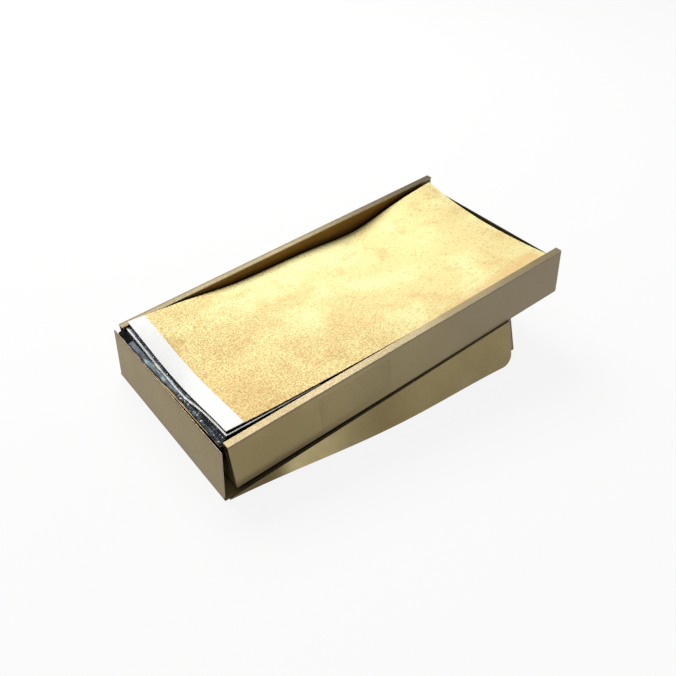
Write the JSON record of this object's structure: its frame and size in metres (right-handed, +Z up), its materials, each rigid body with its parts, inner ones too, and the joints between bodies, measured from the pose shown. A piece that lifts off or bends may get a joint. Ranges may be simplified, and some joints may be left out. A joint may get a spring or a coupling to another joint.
{
  "type": "gold leaf box",
  "caption": "Open shallow folding card box holding a stack of thin embossed gold foil leaves, its hinged lid folded back underneath as a sloping stand.",
  "frame": {"origin": "on the table, under the middle of the whole part", "axes": "+X along the box from the lid's fold towards the raised end, +Y from the front wall to the back wall, +Z up"},
  "size_m": [0.2784, 0.158, 0.0762],
  "materials": {
    "card_outside": "matt pearlescent gold-brown printed card",
    "card_inside": "plain tan card",
    "gold_foil": "finely embossed satin gold leaf on paper",
    "silver_foil": "embossed silver reverse of the leaves",
    "white_strip": "plain white strip",
    "clear_film": "thin clear blank film label"
  },
  "bodies": {
    "tray": {"tray_floor": "card_inside", "front_wall_outer": "card_outside", "front_wall_top": "card_outside", "front_wall_inner": "card_outside", "back_wall_outer": "card_outside", "back_wall_top": "card_outside", "back_wall_inner": "card_outside", "left_end_wall": "card_outside", "right_end_wall": "card_outside", "corner_tab_front_left": "card_outside", "corner_tab_back_left": "card_outside", "corner_tab_front_right": "card_outside", "corner_tab_back_right": "card_outside", "clear_label": "clear_film", "leaf_stack": "silver_foil", "leaf_under_1": "silver_foil", "leaf_under_2": "silver_foil", "leaf_under_3": "silver_foil", "leaf_under_4": "silver_foil", "leaf_under_5": "silver_foil", "leaf_top": "gold_foil", "leaf_top_end_strip": "white_strip"},
    "hinge_strip": {"lid_hinge_strip": "card_inside", "leaf_overhang": "silver_foil"},
    "lid_spine": {"lid_spine_panel": "card_inside"},
    "lid_main": {"lid_main_panel": "card_inside"},
    "front_flap": {"lid_front_flap": "card_outside"},
    "back_flap": {"lid_back_flap": "card_outside"},
    "end_flap": {"lid_end_flap": "card_outside"}
  },
  "joints": [
    {"name": "strip_fold", "type": "hinge", "parent": "tray", "child": "hinge_strip", "pos_m": [-0.13444, 0, 0.03867], "axis": [0, 1, 0], "range_deg": [0, 90]},
    {"name": "lid_fold", "type": "hinge", "parent": "hinge_strip", "child": "lid_spine", "pos_m": [-0.1388, 0, 0.0381], "axis": [0, 1, 0], "range_deg": [0, 172.6]},
    {"name": "main_fold", "type": "hinge", "parent": "lid_spine", "child": "lid_main", "pos_m": [-0.1388, 0, 0.0004], "axis": [0, 1, 0], "range_deg": [0, 98.24]},
    {"name": "front_flap_fold", "type": "hinge", "parent": "lid_main", "child": "front_flap", "pos_m": [-0.1388, -0.0699, 0.0004], "axis": [-0.9897, 0, -0.1433], "range_deg": [-13, 77]},
    {"name": "back_flap_fold", "type": "hinge", "parent": "lid_main", "child": "back_flap", "pos_m": [-0.1388, 0.0699, 0.0004], "axis": [0.9897, 0, 0.1433], "range_deg": [-13, 77]},
    {"name": "end_flap_fold", "type": "hinge", "parent": "lid_main", "child": "end_flap", "pos_m": [0.09357, 0, 0.03406], "axis": [0, -1, 0], "range_deg": [-10.36, 76.64]}
  ],
  "couplings": [
    {"joint": "strip_fold", "follows": "lid_fold", "ratio": 0.52145},
    {"joint": "main_fold", "follows": "lid_fold", "ratio": 0.5692}
  ]
}
